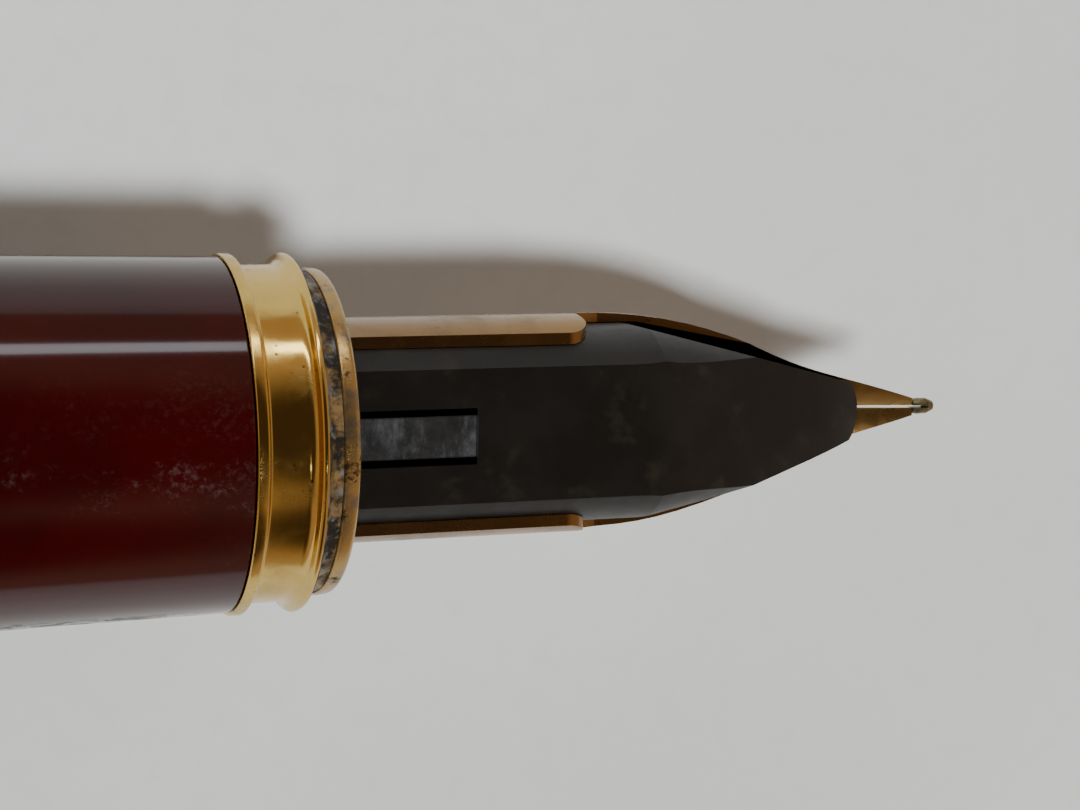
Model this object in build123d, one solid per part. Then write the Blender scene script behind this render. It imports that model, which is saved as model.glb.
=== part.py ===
from build123d import *

import math
import os

# Slim cartridge-converter fountain pen, lying with the underside of its nib up and its cap
# pushed onto the barrel's tail. Millimetres. The pen's axis is X, the nib points to +X, +Z is up.
# Pieces are drawn with X = 0 at the rear of the grip's sleeve. On export all of them move by
# ORIGIN_SHIFT, which puts the origin on the axis at the barrel's front edge.

# ---- driving dimensions -------------------------------------------------------------------
GAP = 0.02  # clearance between two pieces of one body that only touch
RUNNING = 0.05  # radial clearance of a piece that turns or slides in another
ORIGIN_SHIFT = 1.2  # from the drawing's X = 0 to the barrel's front edge

# grip section
SLEEVE_END = 30.14  # where the lacquered sleeve ends and the front ring begins
LIP_END = 33.0  # foremost plane of the nose ring, where the nib comes out
SLEEVE_R_FRONT = 4.87
SLEEVE_R_REAR = 5.30
CORE_R = 4.40  # outside of the grip core under the sleeve
CORE_BORE_R = 4.02
NECK_END = -9.5  # rear end of the threaded neck
NECK_BORE_R = 3.75
RIM_R = 4.95  # front ring: rear rim
WAIST_R = 4.67  # front ring: waist between rim and bead
BEAD_R = 4.94  # front ring: the bead that the cap's clutch snaps over
LIP_R = 4.53  # nose ring's lip

# screw thread between the neck and the barrel: two starts
THREAD_LEAD = 2.0
THREAD_STARTS = 2
THREAD_ROOT_R = 4.14
THREAD_CREST_R = 4.42
THREAD_BACK = -8.9
THREAD_FRONT = -2.1

# nib and feed, stations measured along X from LIP_END
NIB_R = 3.15
NIB_SHEET = 0.28
NIB_TIP_SHEET = 0.22
NIB_REAR = -9.0
SHOULDER = 9.5  # the nib is a plain cylinder up to here, then an oblique cone
NIB_END = 19.0
TIP_R = 1.25  # radius of the cone at the tip, and the height of its centre there
TIP_CENTRE_Z = 0.35
WING_END = 7.5
WING_TOP_Z = 1.55  # how far the wings wrap round the feed
SLIT_WIDTH = 0.08
SLIT_REAR = 6.0
FEED_END = 16.9
FEED_FLAT_Z = 2.15
FEED_END_Z = -0.30
PAD_HALF = 0.58  # half width of the pad in the feed's flat, where ink dries
PAD_SLOT = 0.2
PAD_END = 3.9
FEED_REAR = 16.0  # X of the collector's rear face

# converter
NIPPLE_R = 1.25
NIPPLE_END = 6.2
TUBE_R = 3.30
TUBE_BORE_R = 2.75
MOUTH_R = 2.40
MOUTH_FRONT = 11.2
TUBE_FRONT = 4.8
TUBE_REAR = -26.0
KNOB_R = 3.25
KNOB_FRONT = -33.1
KNOB_REAR = -52.0
ROD_R = 1.25
ROD_REAR = -50.6
PISTON_REAR = -20.5  # X of the piston's rear face when the converter is full

# barrel
BARREL_R = 5.40
BARREL_WALL = 0.45
BARREL_FRONT = -ORIGIN_SHIFT
BARREL_STRAIGHT_END = -39.4
BARREL_END = -70.0
BARREL_END_R = 4.85
TAIL_END = -74.0

# cap, stations measured from its mouth towards its crown, that is towards -X
CAP_MOUTH = -40.0  # X of the mouth when the cap is on the barrel's tail
CAP_R = 6.10
CAP_BORE_R = 5.60
BAND_R = 6.20
SHELL_LENGTH = 55.0
LINER_START = 33.2
LINER_END = 53.0
LINER_BORE_R = 4.30
CROWN_END = 60.0
CLIP_WIDTH = 3.4
CLIP_TIP_WIDTH = 2.5
CLIP_THICK = 0.9
CLIP_OUTER_R = 8.2  # outer face of the clip's arm, from the pen's axis
CLIP_TIP = 17.5  # station of the clip's free end
CLIP_TURN = 180  # the clip is in line with the nib's upper face, so it points down here
PIVOT_STATION = 56.2
PIVOT_R = 4.9


# ---- small helpers --------------------------------------------------------------------------
def turned(*outline):
    """A closed outline of (x, radius) points turned about the pen's axis."""
    return revolve(make_face(Polyline(*outline, close=True)), Axis.X)


def tube(x_front, x_rear, outer, inner):
    """A plain tube or disc between two stations of the axis."""
    return turned((x_front, inner), (x_front, outer), (x_rear, outer), (x_rear, inner))


def block(x, y, z):
    """A box between three (low, high) pairs."""
    centre = Location(((x[0] + x[1]) / 2, (y[0] + y[1]) / 2, (z[0] + z[1]) / 2))
    return centre * Box(x[1] - x[0], y[1] - y[0], z[1] - z[0])


def rod_along_x(x_low, x_high, radius, y=0.0, z=0.0):
    """A round bar parallel to the axis."""
    place = Plane(origin=(x_low, y, z), x_dir=(0, 1, 0), z_dir=(1, 0, 0))
    return extrude(place * Circle(radius), x_high - x_low)


def plan_solid(edges):
    """A plan outline, drawn in XY, extruded through the whole height of the pen."""
    return extrude(Location((0, 0, -10)) * make_face(edges), 20)


def side_solid(edges):
    """A side outline, drawn in XZ, extruded through the whole width of the pen."""
    face = make_face([Plane.XZ.offset(-10).from_local_coords(edge) for edge in edges])
    return extrude(face, 20, dir=(0, -1, 0))


def coil(x_low, turns, pitch, radius, wire_r):
    """A helical compression spring on the pen's axis."""
    path = Helix(pitch=pitch, height=turns * pitch, radius=radius)
    start = Plane(origin=path @ 0, z_dir=path % 0)
    spring = sweep(start * Circle(wire_r), path, is_frenet=True)
    return Location((x_low, 0, 0)) * (Rotation(0, 90, 0) * spring)


# ---- grip section ----------------------------------------------------------------------------
def grip_sleeve():
    """Lacquered tube that the fingers hold, a gentle cone outside and a plain bore inside."""
    body = turned(
        (0, CORE_R + GAP),
        (0, SLEEVE_R_REAR),
        (SLEEVE_END, SLEEVE_R_FRONT),
        (SLEEVE_END, CORE_R + GAP),
    )
    return body


def front_ring():
    """Plated ring with a thin rim, a hollow waist and the rounded bead that holds the cap."""
    start = SLEEVE_END + GAP
    rim_end = start + 0.26
    bead_start = start + 1.45
    bead_end = start + 2.36
    bore = CORE_R + GAP
    edges = [
        Line((start, bore), (start, RIM_R - 0.05)),
        ThreePointArc((start, RIM_R - 0.05), (start + 0.1, RIM_R), (rim_end, RIM_R - 0.06)),
        ThreePointArc((rim_end, RIM_R - 0.06), (rim_end + 0.06, WAIST_R + 0.06), (rim_end + 0.2, WAIST_R)),
        Line((rim_end + 0.2, WAIST_R), (bead_start, WAIST_R)),
        ThreePointArc((bead_start, WAIST_R), (bead_start + 0.45, BEAD_R), (bead_end, WAIST_R - 0.12)),
        Line((bead_end, WAIST_R - 0.12), (bead_end, bore)),
        Line((bead_end, bore), (start, bore)),
    ]
    return revolve(make_face(edges), Axis.X)


def nose_ring():
    """Flanged bush that closes the front of the grip; its flange is the narrow lip."""
    flange = SLEEVE_END + 2 * GAP + 2.36
    core_front = flange - 0.02
    bore = NIB_R + 0.05
    edges = [
        Line((30.5, bore), (30.5, CORE_BORE_R - GAP)),
        Line((30.5, CORE_BORE_R - GAP), (core_front, CORE_BORE_R - GAP)),
        Line((core_front, CORE_BORE_R - GAP), (core_front, LIP_R - 0.16)),
        Line((core_front, LIP_R - 0.16), (flange + 0.1, LIP_R - 0.1)),
        ThreePointArc((flange + 0.1, LIP_R - 0.1), (flange + 0.3, LIP_R), (LIP_END, LIP_R - 0.2)),
        Line((LIP_END, LIP_R - 0.2), (LIP_END, bore + 0.12)),
        Line((LIP_END, bore + 0.12), (LIP_END - 0.12, bore)),
        Line((LIP_END - 0.12, bore), (30.5, bore)),
    ]
    return revolve(make_face(edges), Axis.X)


def thread_ridge():
    """One start of the neck's thread, a low ridge that winds along the neck."""
    height = THREAD_FRONT - THREAD_BACK
    path = Helix(pitch=THREAD_LEAD, height=height, radius=THREAD_ROOT_R)
    profile = Plane(origin=path @ 0, x_dir=(1, 0, 0), z_dir=path % 0)
    depth = THREAD_CREST_R - THREAD_ROOT_R
    ridge = Polyline((-0.08, -0.34), (depth, -0.1), (depth, 0.1), (-0.08, 0.34), close=True)
    swept = sweep(profile * make_face(ridge), path, is_frenet=True)
    return Location((THREAD_BACK, 0, 0)) * (Rotation(0, 90, 0) * swept)


def grip_core():
    """Inner tube of the grip: holds the nib unit in front and carries the barrel's thread behind."""
    core_front = SLEEVE_END + 2.36
    shell = turned(
        (core_front, CORE_BORE_R),
        (core_front, CORE_R),
        (-1.6, CORE_R),
        (-1.9, THREAD_ROOT_R),
        (NECK_END + 0.3, THREAD_ROOT_R),
        (NECK_END, THREAD_ROOT_R - 0.3),
        (NECK_END, NECK_BORE_R),
        (10.6, NECK_BORE_R),
        (10.6, 3.2),
        (11.6, 3.2),
        (11.6, CORE_BORE_R),
    )
    ridge = thread_ridge()
    for start in range(THREAD_STARTS):
        shell += Rotation(360 / THREAD_STARTS * start, 0, 0) * ridge
    return shell


def nib_housing():
    """Plastic holder of nib and feed, with the nipple that enters the converter."""
    return turned(
        (30.45, NIB_R + GAP),
        (30.45, CORE_BORE_R - GAP),
        (11.65, CORE_BORE_R - GAP),
        (11.65, NIPPLE_R),
        (NIPPLE_END + 0.4, NIPPLE_R),
        (NIPPLE_END, NIPPLE_R - 0.3),
        (NIPPLE_END, 0.5),
        (13.4, 0.5),
        (13.4, NIB_R + GAP),
    )


def oblique_cone(radius, tip_radius, tip_x):
    """The nib's solid form: a cylinder up to the shoulder, then a cone that bends to the tip."""
    shoulder_x = LIP_END + SHOULDER
    straight = rod_along_x(LIP_END + NIB_REAR, shoulder_x, radius)
    facing = {"x_dir": (0, 1, 0), "z_dir": (1, 0, 0)}
    wide = Plane(origin=(shoulder_x, 0, 0), **facing) * Circle(radius)
    narrow = Plane(origin=(tip_x, 0, TIP_CENTRE_Z), **facing) * Circle(tip_radius)
    return straight + loft([wide, narrow])


def nib():
    """Spring sheet rolled round the feed, with side wings, sloping shoulders and a slit."""
    end = LIP_END + NIB_END
    outer = oblique_cone(NIB_R, TIP_R, end)
    inner = oblique_cone(NIB_R - NIB_SHEET, TIP_R - NIB_TIP_SHEET, end)
    rear = LIP_END + NIB_REAR
    half_tip = 0.27
    wing_x = LIP_END + WING_END
    edge = [(wing_x, NIB_R), (wing_x + 3.4, 2.82), (wing_x + 5.5, 2.2), (wing_x + 7.5, 1.43), (end, half_tip)]
    other_edge = [(x, -y) for x, y in reversed(edge)]
    plan = [
        Line((rear, -NIB_R - 1), (rear, NIB_R + 1)),
        Line((rear, NIB_R + 1), (wing_x, NIB_R + 1)),
        Line((wing_x, NIB_R + 1), edge[0]),
        Spline(*edge, tangents=[(1, 0), (1, -0.32)]),
        Line(edge[-1], other_edge[0]),
        Spline(*other_edge, tangents=[(-1, -0.32), (-1, 0)]),
        Line(other_edge[-1], (wing_x, -NIB_R - 1)),
        Line((wing_x, -NIB_R - 1), (rear, -NIB_R - 1)),
    ]
    corner = 0.7
    side = [
        Line((rear, -5), (rear, WING_TOP_Z)),
        Line((rear, WING_TOP_Z), (wing_x - corner, WING_TOP_Z)),
        RadiusArc((wing_x - corner, WING_TOP_Z), (wing_x, WING_TOP_Z - corner), corner),
        Line((wing_x, WING_TOP_Z - corner), (wing_x, 0)),
        Line((wing_x, 0), (wing_x + 0.8, -0.2)),
        Line((wing_x + 0.8, -0.2), (end, -0.2)),
        Line((end, -0.2), (end, -5)),
        Line((end, -5), (rear, -5)),
    ]
    sheet = (outer - inner) & plan_solid(plan) & side_solid(side)
    slit_x = (LIP_END + SLIT_REAR, end + 1)
    slit = block(slit_x, (-SLIT_WIDTH / 2, SLIT_WIDTH / 2), (-5, 0))
    breather = Location((LIP_END + SLIT_REAR, 0, -3)) * Cylinder(0.55, 4)
    return sheet - slit - breather


def nib_tipping():
    """Hard pellet on the tip, ground flat where it writes and split by the slit."""
    start = LIP_END + NIB_END + GAP
    middle_z = TIP_CENTRE_Z - TIP_R + NIB_TIP_SHEET / 2
    pellet = turned(
        (start, 0),
        (start, 0.22),
        (start + 0.2, 0.25),
        (start + 0.5, 0.24),
        (start + 0.72, 0.15),
        (start + 0.8, 0),
    )
    slit = block((start - 1, start + 0.5), (-SLIT_WIDTH / 2, SLIT_WIDTH / 2), (-1, 1))
    return Location((0, 0, middle_z)) * (pellet - slit)


def feed():
    """Moulded ink feed: a flat-bottomed tongue in the nib and a finned collector behind it."""
    end = LIP_END + FEED_END
    fit = NIB_SHEET + GAP
    tongue_rear = LIP_END + NIB_REAR
    form = oblique_cone(NIB_R - fit, TIP_R - NIB_TIP_SHEET - GAP, LIP_END + NIB_END)
    half_end = 0.78
    wide = NIB_R
    plan = [
        Line((tongue_rear, -wide), (tongue_rear, wide)),
        Line((tongue_rear, wide), (LIP_END + 7.9, wide)),
        Line((LIP_END + 7.9, wide), (LIP_END + 9.2, 2.8)),
        Line((LIP_END + 9.2, 2.8), (end - 0.35, half_end + 0.1)),
        ThreePointArc((end - 0.35, half_end + 0.1), (end, 0), (end - 0.35, -half_end - 0.1)),
        Line((end - 0.35, -half_end - 0.1), (LIP_END + 9.2, -2.8)),
        Line((LIP_END + 9.2, -2.8), (LIP_END + 7.9, -wide)),
        Line((LIP_END + 7.9, -wide), (tongue_rear, -wide)),
    ]
    slope_start = LIP_END + 8.6
    side = [
        Line((tongue_rear, -5), (tongue_rear, FEED_FLAT_Z)),
        Line((tongue_rear, FEED_FLAT_Z), (slope_start, FEED_FLAT_Z)),
        Spline((slope_start, FEED_FLAT_Z), (LIP_END + 13.2, 1.15), (end, FEED_END_Z), tangents=[(1, 0), (1, -0.62)]),
        Line((end, FEED_END_Z), (end, -5)),
        Line((end, -5), (tongue_rear, -5)),
    ]
    tongue = form & plan_solid(plan) & side_solid(side)
    for sign in (-1, 1):  # two deep slots beside the raised pad near the grip
        slot_y = sorted((sign * PAD_HALF, sign * (PAD_HALF + PAD_SLOT)))
        tongue -= block((LIP_END - 4, LIP_END + PAD_END), slot_y, (1.2, 3))
    tongue -= block((LIP_END - 4, LIP_END + PAD_END), (-PAD_HALF, PAD_HALF), (FEED_FLAT_Z - 0.08, 3))
    collector = rod_along_x(FEED_REAR, tongue_rear - 0.1, NIB_R - GAP)
    fin_pitch = 0.9
    for fin in range(7):
        x = FEED_REAR + 0.9 + fin * fin_pitch
        collector -= tube(x, x + 0.45, NIB_R + 1, 1.7)
    body = tongue + collector + rod_along_x(tongue_rear - 0.2, tongue_rear + 0.2, 2.4)
    body += rod_along_x(9.0, FEED_REAR + 0.2, 0.4)
    return body - block((FEED_REAR + 0.5, end - 1.2), (-0.15, 0.15), (-4, -1.1))


# ---- converter -------------------------------------------------------------------------------
def converter_tube():
    """Clear ink tube with the narrow mouth that pushes onto the nipple."""
    return turned(
        (MOUTH_FRONT, NIPPLE_R + GAP),
        (MOUTH_FRONT, MOUTH_R - 0.2),
        (MOUTH_FRONT - 0.4, MOUTH_R),
        (TUBE_FRONT + 0.6, MOUTH_R),
        (TUBE_FRONT, TUBE_R),
        (TUBE_REAR, TUBE_R),
        (TUBE_REAR, TUBE_BORE_R),
        (TUBE_FRONT - 0.8, TUBE_BORE_R),
        (TUBE_FRONT + 0.2, NIPPLE_R + GAP),
    )


def converter_ferrule():
    """Plated sleeve that joins the tube to the turning knob."""
    return turned(
        (-22.0, TUBE_R + GAP),
        (-22.0, TUBE_R + 0.3),
        (-33.0, TUBE_R + 0.3),
        (-33.0, TUBE_R - 0.6),
        (-32.2, TUBE_R - 0.6),
        (-32.2, TUBE_R + GAP),
    )


def rod_guide():
    """Bush in the tube's rear whose flat-sided hole stops the rod from turning."""
    bush = turned(
        (-21.6, 0),
        (-21.6, TUBE_BORE_R - GAP),
        (TUBE_REAR - GAP, TUBE_BORE_R - GAP),
        (TUBE_REAR - GAP, TUBE_R),
        (-28.0, TUBE_R),
        (-28.0, 0),
    )
    return bush - keyed_bar(-29, -20, ROD_R + RUNNING)


def keyed_bar(x_low, x_high, radius):
    """A round bar with two flats, the section of the piston rod."""
    flat = radius * 0.72
    return rod_along_x(x_low, x_high, radius) & block((x_low, x_high), (-flat, flat), (-5, 5))


def piston_rod():
    """Rod that the knob's nut drives: flats for the guide and grooves for the nut."""
    rod = keyed_bar(ROD_REAR, PISTON_REAR + 2.2, ROD_R)
    groove_pitch = 1.5
    for groove in range(18):
        x = ROD_REAR + 0.9 + groove * groove_pitch
        rod -= tube(x, x + 0.6, ROD_R + 1, ROD_R - 0.18)
    return rod


def piston_seal():
    """Soft double-lipped piston on the rod's front end."""
    lip_r = TUBE_BORE_R - 0.01
    rear = PISTON_REAR
    seal = turned(
        (rear, 0),
        (rear, lip_r),
        (rear + 0.7, lip_r),
        (rear + 1.1, lip_r - 0.4),
        (rear + 2.3, lip_r - 0.4),
        (rear + 2.7, lip_r),
        (rear + 3.4, lip_r),
        (rear + 4.2, 0.6),
        (rear + 4.2, 0),
    )
    return seal - keyed_bar(rear - 1, rear + 2.2 + GAP, ROD_R + GAP)


def converter_knob():
    """Hollow fluted knob that is turned to fill the converter."""
    knob = turned(
        (KNOB_FRONT, 2.1),
        (KNOB_FRONT, KNOB_R),
        (KNOB_REAR + 0.4, KNOB_R),
        (KNOB_REAR, KNOB_R - 0.4),
        (KNOB_REAR, 0),
        (KNOB_REAR + 1.0, 0),
        (KNOB_REAR + 1.0, 2.1),
    )
    flutes = 24
    for flute in range(flutes):
        groove = rod_along_x(KNOB_REAR + 1.2, KNOB_FRONT - 2, 0.2, y=KNOB_R + 0.08)
        knob -= Rotation(360 / flutes * flute, 0, 0) * groove
    return knob


def drive_nut():
    """Threaded insert fixed in the knob, held axially by the ferrule's collar."""
    return turned(
        (-28.3, ROD_R + RUNNING),
        (-28.3, 3.1),
        (-32.1, 3.1),
        (-32.1, 2.08),
        (-37.0, 2.08),
        (-37.0, ROD_R + RUNNING),
    )


# ---- barrel ----------------------------------------------------------------------------------
def centre_ring():
    """Plated ring between grip and barrel, loose on the plain part of the neck."""
    front = -0.06
    rear = BARREL_FRONT + 0.06
    bore = CORE_R + RUNNING
    return turned(
        (front, bore),
        (front, BARREL_R - 0.13),
        (front - 0.1, BARREL_R - 0.03),
        (rear + 0.1, BARREL_R - 0.03),
        (rear, BARREL_R - 0.13),
        (rear, bore),
    )


def barrel_shell():
    """Lacquered barrel tube: straight in front and gently tapered to the tail."""
    return turned(
        (BARREL_FRONT, BARREL_R - BARREL_WALL),
        (BARREL_FRONT, BARREL_R),
        (BARREL_STRAIGHT_END, BARREL_R),
        (BARREL_END, BARREL_END_R),
        (BARREL_END, BARREL_END_R - BARREL_WALL),
        (BARREL_STRAIGHT_END, BARREL_R - BARREL_WALL),
    )


def barrel_bush():
    """Threaded brass bush in the barrel's mouth; its bore clears the neck's crests."""
    outer = BARREL_R - BARREL_WALL - GAP
    bore = THREAD_CREST_R + RUNNING
    bush = tube(BARREL_FRONT - 0.1, -10.2, outer, bore)
    groove_pitch = THREAD_LEAD / THREAD_STARTS
    for groove in range(3):
        x = -3.6 - groove * 2 * groove_pitch
        bush -= turned((x, bore - 0.1), (x - 0.1, bore + 0.22), (x - 0.3, bore + 0.22), (x - 0.4, bore - 0.1))
    return bush


def tail_plug():
    """Plated end plug of the barrel, with a spigot in the tube and a low dome outside."""
    spigot_r = BARREL_END_R - BARREL_WALL - GAP
    front = BARREL_END - GAP
    dome_start = front - 1.2
    dome_edge_r = BARREL_END_R - 0.95
    dome_depth = dome_start - TAIL_END
    dome_r = (dome_edge_r**2 + dome_depth**2) / (2 * dome_depth)
    half_angle = math.asin(dome_edge_r / dome_r) / 2
    dome_middle = (TAIL_END + dome_r * (1 - math.cos(half_angle)), dome_r * math.sin(half_angle))
    edges = [
        Line((BARREL_END + 3.0, 0), (BARREL_END + 3.0, spigot_r - 0.1)),
        Line((BARREL_END + 3.0, spigot_r - 0.1), (BARREL_END, spigot_r)),
        Line((BARREL_END, spigot_r), (front, spigot_r)),
        Line((front, spigot_r), (front, BARREL_END_R - 0.1)),
        Line((front, BARREL_END_R - 0.1), (front - 0.8, BARREL_END_R - 0.35)),
        Line((front - 0.8, BARREL_END_R - 0.35), (dome_start, dome_edge_r)),
        ThreePointArc((dome_start, dome_edge_r), dome_middle, (TAIL_END, 0)),
        Line((TAIL_END, 0), (BARREL_END + 3.0, 0)),
    ]
    return revolve(make_face(edges), Axis.X)


def barrel_spring():
    """Small coil spring in the tail that keeps a loose cartridge from rattling."""
    return coil(-66.5, 5, 1.5, 2.9, 0.22)


# ---- cap: drawn with the clip towards +Z, then turned about the axis as one ---------------------
def cap_x(station):
    """X of a point that is a given distance behind the cap's mouth."""
    return CAP_MOUTH - station


def cap_shell():
    """Lacquered cap tube, stepped at the mouth for the band."""
    band_seat = 2.2
    shell = turned(
        (cap_x(0), CAP_BORE_R),
        (cap_x(0), CAP_R - 0.25),
        (cap_x(band_seat), CAP_R - 0.25),
        (cap_x(band_seat), CAP_R),
        (cap_x(SHELL_LENGTH), CAP_R),
        (cap_x(SHELL_LENGTH), CAP_BORE_R),
    )
    return shell


def cap_band():
    """Plated band round the mouth, turned over the tube's edge."""
    bore = CAP_R - 0.25 + GAP
    return turned(
        (cap_x(-0.5), CAP_BORE_R),
        (cap_x(-0.5), BAND_R - 0.12),
        (cap_x(-0.38), BAND_R),
        (cap_x(2.06), BAND_R),
        (cap_x(2.18), BAND_R - 0.12),
        (cap_x(2.18), bore),
        (cap_x(-GAP), bore),
        (cap_x(-GAP), CAP_BORE_R),
    )


def cap_clutch():
    """Slotted spring sleeve: its fingers snap over the grip's bead or hold the barrel's tail."""
    sleeve = turned(
        (cap_x(27.5), 5.30),
        (cap_x(27.5), CAP_BORE_R - GAP),
        (cap_x(33.0), CAP_BORE_R - GAP),
        (cap_x(33.0), 5.30),
        (cap_x(31.2), 5.30),
        (cap_x(30.5), 4.93),
        (cap_x(29.6), 4.93),
        (cap_x(28.9), 5.30),
    )
    fingers = 6
    for finger in range(fingers):
        slot = block((cap_x(32.2), cap_x(27.0)), (-0.3, 0.3), (4.5, 6))
        sleeve -= Rotation(360 / fingers * finger, 0, 0) * slot
    return sleeve


def cap_liner():
    """Plastic inner cap that seals round the nib and is held by the crown's screw."""
    return turned(
        (cap_x(LINER_START), LINER_BORE_R),
        (cap_x(LINER_START), CAP_BORE_R - GAP),
        (cap_x(LINER_END), CAP_BORE_R - GAP),
        (cap_x(LINER_END), 1.05),
        (cap_x(51.5), 1.05),
        (cap_x(51.5), LINER_BORE_R),
    )


def crown_block():
    """Brass plug that closes the cap tube and carries the clip's pivot."""
    block_body = turned(
        (cap_x(LINER_END + GAP), 1.05),
        (cap_x(LINER_END + GAP), CAP_BORE_R - GAP),
        (cap_x(SHELL_LENGTH + GAP), CAP_BORE_R - GAP),
        (cap_x(SHELL_LENGTH + GAP), CAP_R - 0.1),
        (cap_x(57.6), CAP_R - 0.1),
        (cap_x(57.6), 1.05),
    )
    half_slot = CLIP_WIDTH / 2 - 0.6 + RUNNING
    slot = block((cap_x(57.3), cap_x(53.6)), (-half_slot, half_slot), (2.6, 8))
    return block_body - slot - clip_pin()


def clip_pin():
    """Steel pin on which the clip rocks."""
    place = Plane(origin=(cap_x(PIVOT_STATION), -2.6, PIVOT_R), x_dir=(1, 0, 0), z_dir=(0, 1, 0))
    return extrude(place * Circle(0.4), 5.2)


def clip():
    """Sprung clip: a tapered arm with a ball under its free end and a tang that enters the crown."""
    root = cap_x(57.4)
    tip = cap_x(CLIP_TIP)
    inner_r = CLIP_OUTER_R - CLIP_THICK
    side = [
        Line((root, 6.35), (root, CLIP_OUTER_R - 0.7)),
        RadiusArc((root, CLIP_OUTER_R - 0.7), (root + 0.7, CLIP_OUTER_R), 0.7),
        Line((root + 0.7, CLIP_OUTER_R), (tip - 1.2, CLIP_OUTER_R - 0.25)),
        RadiusArc((tip - 1.2, CLIP_OUTER_R - 0.25), (tip, CLIP_OUTER_R - 1.3), 1.15),
        Line((tip, CLIP_OUTER_R - 1.3), (tip - 1.2, CLIP_OUTER_R - 1.05)),
        Line((tip - 1.2, CLIP_OUTER_R - 1.05), (root + 3.0, inner_r)),
        Line((root + 3.0, inner_r), (root + 2.2, 6.35)),
        Line((root + 2.2, 6.35), (root, 6.35)),
    ]
    half_root = CLIP_WIDTH / 2
    half_tip = CLIP_TIP_WIDTH / 2
    plan = [
        Line((root, -half_root), (root, half_root)),
        Line((root, half_root), (tip - 1.2, half_tip)),
        ThreePointArc((tip - 1.2, half_tip), (tip, 0), (tip - 1.2, -half_tip)),
        Line((tip - 1.2, -half_tip), (root, -half_root)),
    ]
    arm = side_solid(side) & plan_solid(plan)
    ball = Location((tip - 2.2, 0, CAP_R + 0.12 + 0.75)) * Sphere(0.75)
    half_tang = CLIP_WIDTH / 2 - 0.6
    tang = block((root + 0.5, root + 2.0), (-half_tang, half_tang), (3.6, 6.6))
    pin_hole_r = 0.4 + RUNNING
    place = Plane(origin=(cap_x(PIVOT_STATION), -3, PIVOT_R), x_dir=(1, 0, 0), z_dir=(0, 1, 0))
    return arm + ball + tang - extrude(place * Circle(pin_hole_r), 6)


def clip_spring():
    """Short leaf spring in the crown that presses the tang and keeps the clip down."""
    half = CLIP_WIDTH / 2 - 0.8
    strip = Polyline(
        (cap_x(55.1), 2.62),
        (cap_x(53.8), 2.62),
        (cap_x(53.65), 2.8),
        (cap_x(54.8), 4.3),
        (cap_x(55.1), 4.2),
        (cap_x(54.05), 2.87),
        (cap_x(55.1), 2.87),
        close=True,
    )
    return side_solid(strip.edges()) & block((cap_x(56), cap_x(53)), (-half, half), (2, 5))


def finial():
    """Plated end cap of the crown with a shallow round recess."""
    start = cap_x(57.62)
    end = cap_x(CROWN_END)
    recess = 4.0
    edges = [
        Line((start, 1.05), (start, CAP_R)),
        Line((start, CAP_R), (end + 0.9, CAP_R)),
        ThreePointArc((end + 0.9, CAP_R), (end + 0.25, CAP_R - 0.3), (end, CAP_R - 0.9)),
        Line((end, CAP_R - 0.9), (end, recess)),
        Line((end, recess), (end + 0.5, recess)),
        Line((end + 0.5, recess), (end + 0.5, 1.05)),
        Line((end + 0.5, 1.05), (start, 1.05)),
    ]
    return revolve(make_face(edges), Axis.X)


def finial_inlay():
    """Plain lacquered disc in the finial's recess."""
    end = cap_x(CROWN_END)
    return tube(end + 0.5 - GAP, end, 4.0 - GAP, 0)


def crown_screw():
    """Screw from inside the liner that clamps liner, crown block and finial together."""
    head = 51.5 - GAP
    screw = turned(
        (cap_x(head - 0.9), 0),
        (cap_x(head - 0.9), 1.7),
        (cap_x(head - 0.7), 1.9),
        (cap_x(head), 1.9),
        (cap_x(head), 1.0),
        (cap_x(59.4), 1.0),
        (cap_x(59.4), 0),
    )
    return screw - block((cap_x(head - 0.4), cap_x(head - 1.2)), (-2.5, 2.5), (-0.2, 0.2))


GRIP_PIECES = [grip_sleeve, front_ring, nose_ring, grip_core, nib_housing, nib, nib_tipping, feed]
CONVERTER_PIECES = [
    converter_tube,
    converter_ferrule,
    rod_guide,
    piston_rod,
    piston_seal,
    converter_knob,
    drive_nut,
]
BARREL_PIECES = [centre_ring, barrel_shell, barrel_bush, tail_plug, barrel_spring]
CAP_PIECES = [
    cap_shell,
    cap_band,
    cap_clutch,
    cap_liner,
    crown_block,
    clip_pin,
    clip,
    clip_spring,
    finial,
    finial_inlay,
    crown_screw,
]

os.makedirs("parts", exist_ok=True)
shift = Location((ORIGIN_SHIFT, 0, 0))
for piece in GRIP_PIECES + CONVERTER_PIECES + BARREL_PIECES:
    export_step(shift * piece(), f"parts/{piece.__name__}.step")
clip_down = Rotation(CLIP_TURN, 0, 0)
for piece in CAP_PIECES:
    export_step(shift * (clip_down * piece()), f"parts/{piece.__name__}.step")
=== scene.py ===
import math

import bmesh
import bpy
from mathutils import Matrix, Vector


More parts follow.
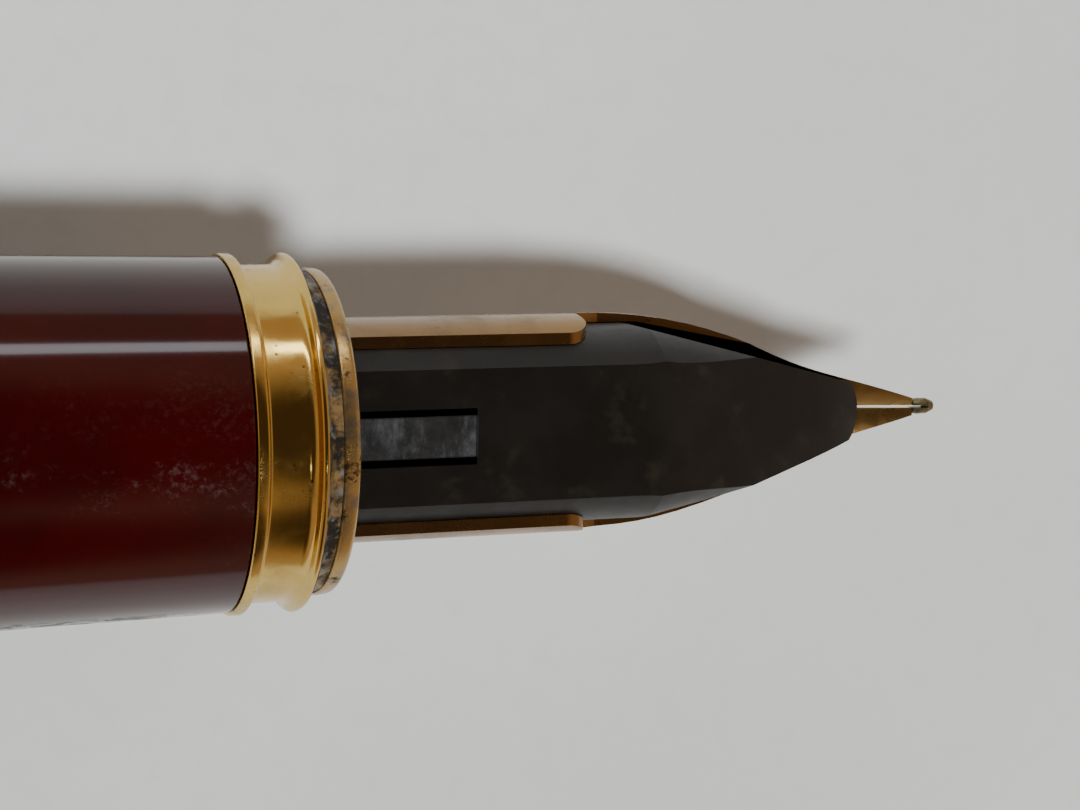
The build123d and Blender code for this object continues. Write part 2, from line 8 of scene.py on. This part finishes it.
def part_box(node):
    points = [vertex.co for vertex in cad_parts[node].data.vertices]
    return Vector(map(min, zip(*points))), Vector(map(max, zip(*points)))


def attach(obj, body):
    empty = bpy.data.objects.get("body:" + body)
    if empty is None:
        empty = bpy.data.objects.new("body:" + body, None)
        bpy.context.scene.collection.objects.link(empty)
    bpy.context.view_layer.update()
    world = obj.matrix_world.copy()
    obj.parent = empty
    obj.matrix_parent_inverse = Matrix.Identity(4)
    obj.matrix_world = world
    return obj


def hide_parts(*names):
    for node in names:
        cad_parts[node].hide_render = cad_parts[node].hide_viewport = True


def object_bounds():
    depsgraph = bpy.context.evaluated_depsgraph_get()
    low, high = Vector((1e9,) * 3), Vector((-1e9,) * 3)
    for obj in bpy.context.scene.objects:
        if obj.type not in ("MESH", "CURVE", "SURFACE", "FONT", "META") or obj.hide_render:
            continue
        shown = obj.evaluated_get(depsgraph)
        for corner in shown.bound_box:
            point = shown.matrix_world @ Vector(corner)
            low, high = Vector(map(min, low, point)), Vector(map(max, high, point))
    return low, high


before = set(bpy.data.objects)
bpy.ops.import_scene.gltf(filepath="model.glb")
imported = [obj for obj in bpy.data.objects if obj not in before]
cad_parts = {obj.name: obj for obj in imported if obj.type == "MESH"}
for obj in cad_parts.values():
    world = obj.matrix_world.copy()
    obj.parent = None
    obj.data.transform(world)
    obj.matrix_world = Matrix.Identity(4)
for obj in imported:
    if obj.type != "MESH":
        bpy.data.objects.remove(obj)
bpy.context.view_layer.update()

# ---- driving values, metres ---------------------------------------------------------------------
MM = 0.001
SEGMENTS = 160  # round the axis, for pieces turned in the lathe function
SHARP_ANGLE = math.radians(35)  # edges that turn harder than this stay sharp
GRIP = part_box("grip_sleeve")
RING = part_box("front_ring")
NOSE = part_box("nose_ring")
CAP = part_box("cap_shell")
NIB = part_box("nib")
SLEEVE_BORE = 4.42 * MM  # the grip sleeve and the front ring sit on the same core
RING_SLOPE = 0.5 * MM  # length of the tarnished slope at the ring's front
CENTRE_RING_BORE = 4.45 * MM
CAP_BORE = 5.6 * MM
FEED_PAD_LENGTH = 3.9 * MM  # the crusted pad in the feed, from the lip forwards
FEED_PAD_HALF = 0.56 * MM
FLOOR_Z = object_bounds()[0][2]
TABLE_SIZE = 0.6
TABLE_GAP = 0.01 * MM
ROOM_COLOUR = (1.0, 0.7, 0.48)
ROOM_STRENGTH = 0.46
LOBE_LEVEL = 0.12  # the room's brightness in the middle of a dark lobe
DARK_LOBES = (
    # direction, half-angles in degrees of the fully dark middle and of the outer edge
    ((-0.15, 0.1, 1), 30, 52),
    ((0, -0.9, 0.55), 12, 30),
)
CAMERA_TILT = math.radians(20.0)
CAMERA_ASIDE = math.radians(7.2)
CAMERA_ROLL = math.radians(0.72)
CAMERA_DISTANCE = 63.2 * MM
CAMERA_LENS = 73.3
CAMERA_SENSOR = 36
# sockets of a colour mix node, which have the same names several times over
MIX_FACTOR = 0
MIX_FIRST = 6
MIX_SECOND = 7
MIX_RESULT = 2


def radius_of(corners):
    """Outer radius of a round node from its box."""
    return (corners[1][1] - corners[0][1]) / 2


# ---- mesh helpers ---------------------------------------------------------------------------------
def arc(centre_x, centre_r, radius, start, end, steps=8):
    """Points of a round stretch of a lathe profile, angles in degrees from +X towards outside."""
    points = []
    for step in range(steps + 1):
        angle = math.radians(start + (end - start) * step / steps)
        points.append((centre_x + radius * math.cos(angle), centre_r + radius * math.sin(angle)))
    return points


def new_piece(name, mesh, body, *nodes, slot):
    """An object for a finished mesh, riding on a body and standing for CAD nodes."""
    piece = bpy.data.objects.new(name, mesh)
    bpy.context.collection.objects.link(piece)
    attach(piece, body)
    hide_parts(*nodes)
    return piece


def lathe(name, profile, body, *nodes, slot):
    """A closed (x, radius) profile turned about the pen's axis, smooth except at sharp corners."""
    mesh = bpy.data.meshes.new(name)
    work = bmesh.new()
    rings = []
    for x, radius in profile:
        ring = []
        for step in range(SEGMENTS):
            angle = 2 * math.pi * step / SEGMENTS
            ring.append(work.verts.new((x, radius * math.cos(angle), radius * math.sin(angle))))
        rings.append(ring)
    for index in range(len(rings)):
        here = rings[index]
        after = rings[(index + 1) % len(rings)]
        for step in range(SEGMENTS):
            following = (step + 1) % SEGMENTS
            work.faces.new((here[step], here[following], after[following], after[step]))
    finish_mesh(work, mesh)
    return new_piece(name, mesh, body, *nodes, slot=slot)


def finish_mesh(work, mesh):
    """Writes a bmesh out with outward normals, smooth faces and sharp edges where it turns hard."""
    bmesh.ops.remove_doubles(work, verts=work.verts, dist=1e-7)
    bmesh.ops.recalc_face_normals(work, faces=work.faces)
    for face in work.faces:
        face.smooth = True
    for edge in work.edges:
        if len(edge.link_faces) == 2:
            edge.smooth = edge.calc_face_angle() < SHARP_ANGLE
    work.to_mesh(mesh)
    work.free()


# ---- material helpers -------------------------------------------------------------------------------
class Look:
    """A node material with a Principled shader and short calls for what is plugged into it."""

    def __init__(self, name, metallic=0.0, ior=1.5):
        self.material = bpy.data.materials.new(name)
        self.material.use_nodes = True
        self.tree = self.material.node_tree
        self.shader = self.tree.nodes["Principled BSDF"]
        self.shader.inputs["Metallic"].default_value = metallic
        self.shader.inputs["IOR"].default_value = ior
        self.coords = self.tree.nodes.new("ShaderNodeTexCoord")

    def node(self, kind, **inputs):
        """A new node with values set on its named inputs."""
        made = self.tree.nodes.new(kind)
        for key, value in inputs.items():
            made.inputs[key.replace("_", " ")].default_value = value
        return made

    def link(self, source, target):
        self.tree.links.new(source, target)

    def stretched(self, scale=(1, 1, 1), offset=(0, 0, 0)):
        """Object coordinates scaled per axis, so marks can run along the pen or round it."""
        mapping = self.node("ShaderNodeMapping", Scale=scale, Location=offset)
        self.link(self.coords.outputs["Object"], mapping.inputs["Vector"])
        return mapping.outputs["Vector"]

    def noise(self, scale, detail=6.0, rough=0.6, where=None):
        """Cloudy noise, on plain object coordinates when no others are given."""
        made = self.node("ShaderNodeTexNoise", Scale=scale, Detail=detail, Roughness=rough)
        self.link(where or self.coords.outputs["Object"], made.inputs["Vector"])
        return made.outputs["Fac"]

    def cells(self, scale):
        """Distance from the middle of the nearest of many scattered points."""
        made = self.node("ShaderNodeTexVoronoi", Scale=scale)
        self.link(self.coords.outputs["Object"], made.inputs["Vector"])
        return made.outputs["Distance"]

    def ramp(self, value, low, high, start=0.0, end=1.0):
        """A smooth step of a value between two limits, giving start below and end above."""
        made = self.tree.nodes.new("ShaderNodeMapRange")
        made.interpolation_type = "SMOOTHSTEP"
        self.link(value, made.inputs["Value"])
        for key, number in (("From Min", low), ("From Max", high), ("To Min", start), ("To Max", end)):
            made.inputs[key].default_value = number
        return made.outputs["Result"]

    def times(self, first, second):
        return self.math("MULTIPLY", first, second)

    def math(self, operation, first, second):
        """One step of arithmetic on outputs or plain numbers; sums stay between 0 and 1."""
        made = self.tree.nodes.new("ShaderNodeMath")
        made.operation = operation
        made.use_clamp = operation == "ADD"
        for socket, value in zip(made.inputs, (first, second)):
            if isinstance(value, (int, float)):
                socket.default_value = value
            else:
                self.link(value, socket)
        return made.outputs[0]

    def mix(self, factor, first, second):
        """A colour mix; each colour is an (r, g, b) or an output of another mix."""
        made = self.tree.nodes.new("ShaderNodeMix")
        made.data_type = "RGBA"
        self.link(factor, made.inputs[MIX_FACTOR])
        for socket, value in ((made.inputs[MIX_FIRST], first), (made.inputs[MIX_SECOND], second)):
            if isinstance(value, tuple):
                socket.default_value = (*value, 1)
            else:
                self.link(value, socket)
        return made.outputs[MIX_RESULT]

    def position(self, axis):
        """Distance along one axis, "X", "Y" or "Z"."""
        split = self.tree.nodes.new("ShaderNodeSeparateXYZ")
        self.link(self.coords.outputs["Object"], split.inputs[0])
        return split.outputs[axis]

    def between(self, axis, low, high, soft):
        """One inside a stretch of an axis and zero outside, with soft ends."""
        place = self.position(axis)
        rise = self.ramp(place, low - soft, low + soft)
        fall = self.ramp(place, high - soft, high + soft, 1, 0)
        return self.times(rise, fall)

    def bump(self, height, distance, strength):
        """Small relief on the surface, plugged into the shader."""
        made = self.node("ShaderNodeBump", Strength=strength, Distance=distance)
        self.link(height, made.inputs["Height"])
        self.link(made.outputs["Normal"], self.shader.inputs["Normal"])

    def give(self, **inputs):
        """Sets the shader's sockets: outputs are linked and plain values are set on the socket."""
        for key, value in inputs.items():
            socket = self.shader.inputs[key.replace("_", " ")]
            if isinstance(value, bpy.types.NodeSocket):
                self.link(value, socket)
            else:
                socket.default_value = value


def dress(piece, look):
    """Gives a piece one material in place of whatever it had."""
    piece.data.materials.clear()
    piece.data.materials.append(look.material)


# ---- materials ----------------------------------------------------------------------------------------
def lacquer():
    """Deep burgundy lacquer under a clear coat, with dried greasy fingermarks and worn chips at the ring;
    the fingermarks are painted grey in a band along the pen as a painted reflection of the key light.
    """
    look = Look("burgundy_lacquer")
    cloud = look.noise(260, 5, 0.6)
    base = look.mix(look.ramp(cloud, 0.35, 0.7), (0.024, 0.0004, 0.0008), (0.016, 0.0003, 0.0006))
    smear = look.noise(300, 8, 0.72, look.stretched((0.5, 1, 1)))
    grain = look.noise(5600, 5, 0.75)
    # painted reflection: the band along the pen where the key light's reflection would fall, where the
    # fingermarks are strongest
    grease_and_reflection_band = look.between("Y", -1.9 * MM, 0.3 * MM, 0.7 * MM)
    patch = look.times(look.ramp(smear, 0.5, 0.66), look.ramp(grain, 0.46, 0.62))
    grease_and_reflection = look.times(patch, look.ramp(grease_and_reflection_band, 0, 1, 0.15, 1))
    # painted reflection: grey mixed into the lacquer's colour where the greasy fingermarks lie, strongest in
    # the key light's band; their added roughness is real
    colour = look.mix(look.times(grease_and_reflection, 0.3), base, (0.12, 0.1, 0.1))
    low_side = look.ramp(look.position("Y"), -4.6 * MM, -4.3 * MM, 1, 0)
    near_ring = look.between("X", GRIP[0][0] + 22 * MM, GRIP[1][0] - 1.5 * MM, 2 * MM)
    chip_noise = look.ramp(look.noise(1700, 7, 0.75, look.stretched((0.5, 1, 1))), 0.47, 0.53)
    chips = look.times(look.times(low_side, near_ring), chip_noise)
    colour = look.mix(chips, colour, (0.014, 0.01, 0.008))
    scratch = look.noise(2600, 3, 0.6, look.stretched((0.04, 1, 1)))
    look.give(
        Base_Color=colour,
        Roughness=look.math("ADD", look.times(grease_and_reflection, 0.3), look.math("ADD", look.times(chips, 0.4), 0.1)),
        Specular_IOR_Level=0.32,
        Coat_Weight=0.12,
        Coat_Roughness=look.math("ADD", look.times(grease_and_reflection, 0.2), 0.03),
    )
    height = look.math("ADD", look.times(scratch, 0.25), look.times(chips, -0.7))
    look.bump(height, 0.003 * MM, 0.25)
    return look


def gold():
    """Yellow plating with faint turning lines, dull tarnish clouds and small dark pits."""
    look = Look("gold_plate", metallic=1.0)
    colour = (0.68, 0.46, 0.13)
    cloud = look.ramp(look.noise(650, 7, 0.65), 0.42, 0.72)
    dark = tuple(part * 0.45 for part in colour)
    pale = (colour[0] * 1.12, colour[1] * 1.3, colour[2] * 2.2)
    tone = look.mix(look.times(cloud, 0.3), colour, dark)
    sheen = look.ramp(look.noise(1400, 4, 0.6, offset_coords(look)), 0.5, 0.8)
    tone = look.mix(look.times(sheen, 0.35), tone, pale)
    pitted = look.ramp(look.noise(500, 3), 0.5, 0.62)
    pits = look.times(look.ramp(look.cells(2600), 0.05, 0.16, 1, 0), pitted)
    tone = look.mix(look.times(pits, 0.8), tone, (0.03, 0.022, 0.014))
    lines = look.noise(900, 2, 0.5, look.stretched((30, 1, 1)))
    look.give(
        Base_Color=tone,
        Roughness=look.math("ADD", look.times(cloud, 0.22), 0.12),
        Anisotropic=0.3,
    )
    look.bump(look.math("ADD", look.times(lines, 0.4), look.times(pits, -0.8)), 0.004 * MM, 0.3)
    return look


def offset_coords(look):
    """Object coordinates moved well away, so two noises of one material don't line up."""
    return look.stretched((1, 1, 1), (0.37, 0.11, 0.05))


def groove_tarnish():
    """The ring's front slope, where plating has gone: black and grey crust with gold showing through."""
    look = Look("groove_tarnish", metallic=0.35)
    around = look.stretched((0.8, 1, 1))
    crust = look.ramp(look.noise(900, 8, 0.7, around), 0.42, 0.56)
    grey = look.ramp(look.noise(1700, 6, 0.7, offset_coords(look)), 0.5, 0.62)
    colour = look.mix(crust, (0.19, 0.12, 0.045), (0.016, 0.014, 0.012))
    colour = look.mix(look.times(grey, 0.8), colour, (0.15, 0.145, 0.14))
    look.give(Base_Color=colour, Roughness=look.math("ADD", look.times(crust, 0.35), 0.4))
    look.bump(look.math("ADD", crust, look.times(grey, 0.6)), 0.03 * MM, 0.8)
    return look


def lip_gold():
    """The lip's worn plating: duller gold with dark ink crust in patches round it."""
    look = Look("lip_gold", metallic=0.9)
    wear = look.ramp(look.noise(700, 8, 0.7), 0.48, 0.62)
    crust = look.ramp(look.noise(1300, 8, 0.75, offset_coords(look)), 0.56, 0.64)
    tone = look.mix(wear, (0.42, 0.27, 0.1), (0.24, 0.19, 0.13))
    tone = look.mix(look.times(crust, 0.85), tone, (0.02, 0.017, 0.014))
    look.give(Base_Color=tone, Roughness=look.math("ADD", look.times(crust, 0.3), 0.26))
    look.bump(look.math("ADD", look.times(wear, 0.3), look.times(crust, 0.7)), 0.012 * MM, 0.5)
    return look


def nib_gold():
    """Rolled nib sheet: brighter plating, painted lighter and browner towards the front as painted light and
    brightest at the point as a painted highlight, with ink dried along its edges.
    """
    look = Look("nib_gold", metallic=1.0)
    cloud = look.ramp(look.noise(520, 7, 0.62), 0.4, 0.72)
    tone = look.mix(look.times(cloud, 0.6), (0.26, 0.155, 0.07), (0.12, 0.066, 0.028))
    # painted light: the plating's colour is painted lighter towards the front of the nib
    front = look.ramp(look.position("X"), NOSE[1][0] + 2 * MM, NOSE[1][0] + 8 * MM)
    tone = look.mix(look.times(front, 0.35), tone, (0.42, 0.24, 0.075))
    # painted highlight: the plating near the point is painted bright gold
    point = look.ramp(look.position("X"), NIB[1][0] - 2.6 * MM, NIB[1][0] - 1.6 * MM)
    tone = look.mix(point, tone, (0.72, 0.5, 0.2))
    ink = look.ramp(look.noise(1500, 8, 0.75, look.stretched((0.35, 1, 1))), 0.6, 0.68)
    tone = look.mix(look.times(ink, 0.6), tone, (0.03, 0.022, 0.016))
    look.give(Base_Color=tone, Roughness=look.math("ADD", look.times(cloud, 0.16), 0.24))
    look.bump(look.noise(2400, 4, 0.6, look.stretched((0.1, 1, 1))), 0.003 * MM, 0.3)
    return look


def tipping():
    """Hard greenish grey metal pellet, finely ground."""
    look = Look("tipping", metallic=0.9)
    colour = look.mix(look.ramp(look.noise(2600, 5), 0.4, 0.65), (0.2, 0.17, 0.09), (0.09, 0.075, 0.04))
    look.give(Base_Color=colour, Roughness=look.math("ADD", look.times(look.noise(5200, 2), 0.2), 0.3))
    return look


def feed_plastic():
    """Moulded black feed with a satin skin, dried ink in its recess and faint yellowish smudges."""
    look = Look("feed_plastic")
    mottled = look.noise(1500, 8, 0.75)
    base = look.mix(look.ramp(look.noise(420, 4), 0.4, 0.7), (0.0035, 0.0033, 0.003), (0.006, 0.0056, 0.005))
    smudge = look.ramp(look.noise(700, 6, 0.65, offset_coords(look)), 0.56, 0.7)
    colour = look.mix(look.times(smudge, 0.12), base, (0.05, 0.042, 0.026))
    recess = look.between("X", NOSE[1][0] - 1 * MM, NOSE[1][0] + FEED_PAD_LENGTH, 0.05 * MM)
    middle = look.between("Y", -FEED_PAD_HALF, FEED_PAD_HALF, 0.05 * MM)
    crust = look.times(look.times(recess, middle), look.ramp(mottled, 0.3, 0.62, 0.35, 1))
    streak = look.ramp(look.noise(1300, 6, 0.7, look.stretched((1, 0.35, 1))), 0.4, 0.6, 0.25, 1)
    colour = look.mix(look.times(crust, streak), colour, (0.05, 0.052, 0.055))
    look.give(
        Base_Color=colour,
        Roughness=look.math("ADD", look.times(mottled, 0.25), 0.3),
        Specular_IOR_Level=0.35,
    )
    look.bump(look.math("ADD", look.times(mottled, 0.5), look.times(crust, 0.5)), 0.012 * MM, 0.6)
    return look


def plain_plastic(name, colour, rough):
    """Moulded plastic with a faint grain, for the pieces inside the pen."""
    look = Look(name)
    grain = look.noise(1800, 4, 0.6)
    darker = tuple(part * 0.6 for part in colour)
    look.give(
        Base_Color=look.mix(look.ramp(grain, 0.4, 0.65), colour, darker),
        Roughness=look.math("ADD", look.times(grain, 0.2), rough),
    )
    look.bump(grain, 0.004 * MM, 0.4)
    return look


def machined(name, colour, rough):
    """Turned metal with fine rings round the axis and light wear."""
    look = Look(name, metallic=1.0)
    rings = look.noise(800, 3, 0.5, look.stretched((40, 1, 1)))
    dull = look.ramp(look.noise(700, 6, 0.6), 0.42, 0.7)
    darker = tuple(part * 0.55 for part in colour)
    look.give(
        Base_Color=look.mix(look.times(dull, 0.6), colour, darker),
        Roughness=look.math("ADD", look.times(dull, 0.2), rough),
    )
    look.bump(rings, 0.005 * MM, 0.4)
    return look


def clear_plastic():
    """Clear tube plastic with a slight ink stain and fine scuffs."""
    look = Look("clear_plastic", ior=1.49)
    stain = look.ramp(look.noise(500, 5), 0.45, 0.75)
    look.give(
        Base_Color=look.mix(stain, (0.9, 0.93, 0.95), (0.6, 0.68, 0.78)),
        Roughness=look.math("ADD", look.times(look.noise(2600, 4), 0.14), 0.05),
        Transmission_Weight=0.9,
    )
    return look


def table_top():
    """Pale matte table sheet with a very fine grain."""
    look = Look("table_top")
    grain = look.noise(900, 8, 0.7)
    wide = look.noise(26, 3, 0.5)
    colour = look.mix(look.ramp(wide, 0.35, 0.7), (0.56, 0.57, 0.56), (0.51, 0.52, 0.51))
    colour = look.mix(look.times(look.ramp(grain, 0.45, 0.7), 0.25), colour, (0.46, 0.46, 0.45))
    look.give(Base_Color=colour, Roughness=0.7)
    look.bump(grain, 0.01 * MM, 0.3)
    return look


# ---- pieces turned on the lathe ------------------------------------------------------------------------
def grip_sleeve():
    """The grip's lacquered cone with softened ends."""
    rear = GRIP[0][0]
    front = GRIP[1][0]
    outer_rear = radius_of(GRIP)
    outer_front = radius_of(GRIP) - 0.43 * MM
    soft = 0.05 * MM
    profile = [(rear, SLEEVE_BORE)]
    profile += arc(rear + soft, outer_rear - soft, soft, 180, 90, 4)
    profile += arc(front - soft, outer_front - soft, soft, 90, 0, 4)
    profile += [(front, SLEEVE_BORE)]
    return lathe("grip_lacquer", profile, "grip", "grip_sleeve", slot="lacquer")


def front_ring():
    """Gold ring: narrow rounded rim, straight waist, a sharp flange and its worn front slope."""
    rear = RING[0][0]
    front = RING[1][0]
    rim = radius_of(RING)
    waist = rim - 0.3 * MM
    crest_x = front - 0.56 * MM
    profile = [(rear, SLEEVE_BORE)]
    profile += arc(rear + 0.07 * MM, rim - 0.07 * MM, 0.07 * MM, 180, 90, 6)
    profile += arc(rear + 0.26 * MM, rim - 0.08 * MM, 0.08 * MM, 90, 0, 6)
    profile += arc(rear + 0.46 * MM, waist + 0.1 * MM, 0.1 * MM, 200, 270, 8)
    profile += arc(crest_x - 0.4 * MM, waist + 0.3 * MM, 0.3 * MM, 270, 325, 8)
    profile += arc(crest_x, rim - 0.12 * MM, 0.12 * MM, 150, 30, 8)
    profile += arc(crest_x + 0.42 * MM, rim - 0.14 * MM, 0.3 * MM, 190, 255, 8)
    profile += [(front, rim - 0.47 * MM), (front, SLEEVE_BORE)]
    return lathe("gold_ring", profile, "grip", "front_ring", slot="gold_plate")


def nose_ring():
    """The rounded lip in front of the ring, where the nib comes out."""
    rear = NOSE[0][0]
    front = NOSE[1][0]
    lip = radius_of(NOSE)
    bore = 3.2 * MM
    seat = RING[1][0] + 0.01 * MM
    profile = [(rear, bore), (rear, 3.98 * MM), (seat, 3.98 * MM)]
    profile += arc(seat + 0.1 * MM, lip - 0.1 * MM, 0.1 * MM, 180, 90, 6)
    profile += arc(front - 0.16 * MM, lip - 0.18 * MM, 0.16 * MM, 90, 0, 8)
    profile += [(front, bore + 0.14 * MM), (front - 0.14 * MM, bore)]
    return lathe("nose_lip", profile, "grip", "nose_ring", slot="gold_plate")


def plain_tube(name, body, node, corners, bore, soft, slot):
    """A tube with the node's own length and radius, and rounded outer edges."""
    rear = corners[0][0]
    front = corners[1][0]
    outer = radius_of(corners)
    profile = [(rear, bore)]
    profile += arc(rear + soft, outer - soft, soft, 180, 90, 5)
    profile += arc(front - soft, outer - soft, soft, 90, 0, 5)
    profile += [(front, bore)]
    return lathe(name, profile, body, node, slot=slot)


# ---- lights, floor and camera ------------------------------------------------------------------------
def floor():
    """A pale sheet just under the pen, large enough to fill the camera's view."""
    mesh = bpy.data.meshes.new("table")
    work = bmesh.new()
    bmesh.ops.create_grid(work, x_segments=2, y_segments=2, size=TABLE_SIZE)
    work.to_mesh(mesh)
    work.free()
    sheet = bpy.data.objects.new("table", mesh)
    bpy.context.collection.objects.link(sheet)
    sheet.location = (0, 0, FLOOR_Z - TABLE_GAP)
    dress(sheet, table_top())


def soft_light(name, target, direction, distance, size, watts, colour, seen_in_gloss=True):
    """A rectangular studio light that looks at a target from a direction."""
    data = bpy.data.lights.new(name, "AREA")
    data.shape = "RECTANGLE"
    data.size = size[0]
    data.size_y = size[1]
    data.energy = watts
    data.color = colour
    lamp = bpy.data.objects.new(name, data)
    bpy.context.collection.objects.link(lamp)
    towards = Vector(direction).normalized()
    lamp.location = Vector(target) + towards * distance
    lamp.rotation_euler = towards.to_track_quat("Z", "Y").to_euler()
    lamp.visible_glossy = seen_in_gloss
    return lamp


def surround():
    """A dim warm room, darker straight above and low on the near side, where the viewer stands."""
    world = bpy.data.worlds.new("studio")
    world.use_nodes = True
    tree = world.node_tree
    background = tree.nodes["Background"]
    coords = tree.nodes.new("ShaderNodeTexCoord")
    level = None
    for direction, inner, outer in DARK_LOBES:
        dot = tree.nodes.new("ShaderNodeVectorMath")
        dot.operation = "DOT_PRODUCT"
        dot.inputs[1].default_value = Vector(direction).normalized()
        tree.links.new(coords.outputs["Generated"], dot.inputs[0])
        shade = tree.nodes.new("ShaderNodeMapRange")
        shade.interpolation_type = "SMOOTHSTEP"
        limits = (math.cos(math.radians(outer)), math.cos(math.radians(inner)), 1.0, LOBE_LEVEL)
        for key, number in zip(("From Min", "From Max", "To Min", "To Max"), limits):
            shade.inputs[key].default_value = number
        tree.links.new(dot.outputs["Value"], shade.inputs["Value"])
        if level is None:
            level = shade.outputs["Result"]
            continue
        both = tree.nodes.new("ShaderNodeMath")
        both.operation = "MULTIPLY"
        tree.links.new(level, both.inputs[0])
        tree.links.new(shade.outputs["Result"], both.inputs[1])
        level = both.outputs[0]
    strength = tree.nodes.new("ShaderNodeMath")
    strength.operation = "MULTIPLY"
    strength.inputs[1].default_value = ROOM_STRENGTH
    tree.links.new(level, strength.inputs[0])
    background.inputs["Color"].default_value = (*ROOM_COLOUR, 1)
    tree.links.new(strength.outputs[0], background.inputs["Strength"])
    bpy.context.scene.world = world


def lights():
    """A key that throws the shadow beyond the pen, a long window strip and a small glow on the near side."""
    middle = (NOSE[0][0], 0, 0)
    soft_light("key", middle, (-0.1, -0.175, 1), 0.5, (0.065, 0.065), 3.9, (0.95, 0.985, 1.0), False)
    soft_light("window", middle, (-0.15, 0.9, 0.44), 0.4, (0.5, 0.05), 0.5, (0.86, 0.93, 1.0))
    soft_light("near_glow", middle, (0.0, -0.27, 1), 0.45, (0.05, 0.016), 0.035, (1.0, 0.94, 0.86))


def camera():
    """Looks down on the front end from a little behind the ring, the pen's axis nearly level."""
    target = Vector((NOSE[1][0] + 6.5 * MM, 0.52 * MM, 0))
    out = Vector(
        (
            -math.sin(CAMERA_TILT) * math.cos(CAMERA_ASIDE),
            math.sin(CAMERA_ASIDE),
            math.cos(CAMERA_TILT) * math.cos(CAMERA_ASIDE),
        )
    )
    right = Vector((0, 1, 0)).cross(out).normalized()
    up = out.cross(right)
    turned_right = right * math.cos(CAMERA_ROLL) + up * math.sin(CAMERA_ROLL)
    turned_up = up * math.cos(CAMERA_ROLL) - right * math.sin(CAMERA_ROLL)
    data = bpy.data.cameras.new("view")
    data.sensor_width = CAMERA_SENSOR
    data.lens = CAMERA_LENS
    data.clip_start = 0.002
    data.clip_end = 5
    eye = bpy.data.objects.new("view", data)
    bpy.context.collection.objects.link(eye)
    turn = Matrix((turned_right, turned_up, out)).transposed()
    eye.matrix_world = Matrix.Translation(target + out * CAMERA_DISTANCE) @ turn.to_4x4()
    bpy.context.scene.camera = eye


# ---- build -------------------------------------------------------------------------------------------
def build():
    """Makes every piece, dresses every CAD node that stays, and sets the stage."""
    red = lacquer()
    plate = gold()
    brass = machined("bare_brass", (0.6, 0.4, 0.17), 0.25)
    steel = machined("spring_steel", (0.5, 0.5, 0.5), 0.25)
    black = plain_plastic("black_plastic", (0.02, 0.02, 0.02), 0.25)
    dress(grip_sleeve(), red)
    ring = front_ring()
    dress(ring, plate)
    ring.data.materials.append(groove_tarnish().material)
    slope_start = RING[1][0] - RING_SLOPE
    for face in ring.data.polygons:
        if face.center.x > slope_start:
            face.material_index = 1
    dress(nose_ring(), lip_gold())
    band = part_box("centre_ring")
    centre_band = plain_tube(
        "centre_band", "loose_ring", "centre_ring", band, CENTRE_RING_BORE, 0.1 * MM, "gold_plate"
    )
    dress(centre_band, plate)
    cap_tube = plain_tube("cap_lacquer", "cap", "cap_shell", CAP, CAP_BORE, 0.04 * MM, "lacquer")
    dress(cap_tube, red)
    looks = {
        "barrel_shell": red,
        "finial_inlay": red,
        "cap_band": plate,
        "finial": plate,
        "clip": plate,
        "tail_plug": plate,
        "converter_ferrule": plate,
        "nib": nib_gold(),
        "nib_tipping": tipping(),
        "feed": feed_plastic(),
        "grip_core": brass,
        "barrel_bush": brass,
        "drive_nut": brass,
        "crown_block": brass,
        "barrel_spring": steel,
        "cap_clutch": steel,
        "clip_pin": steel,
        "clip_spring": steel,
        "crown_screw": steel,
        "nib_housing": black,
        "rod_guide": black,
        "piston_rod": black,
        "converter_knob": black,
        "cap_liner": plain_plastic("liner_plastic", (0.05, 0.05, 0.05), 0.4),
        "piston_seal": plain_plastic("seal_rubber", (0.03, 0.03, 0.03), 0.5),
        "converter_tube": clear_plastic(),
    }
    for node, look in looks.items():
        for material_slot in bpy.data.objects[node].material_slots:
            material_slot.material = look.material
    floor()
    surround()
    lights()
    camera()


build()
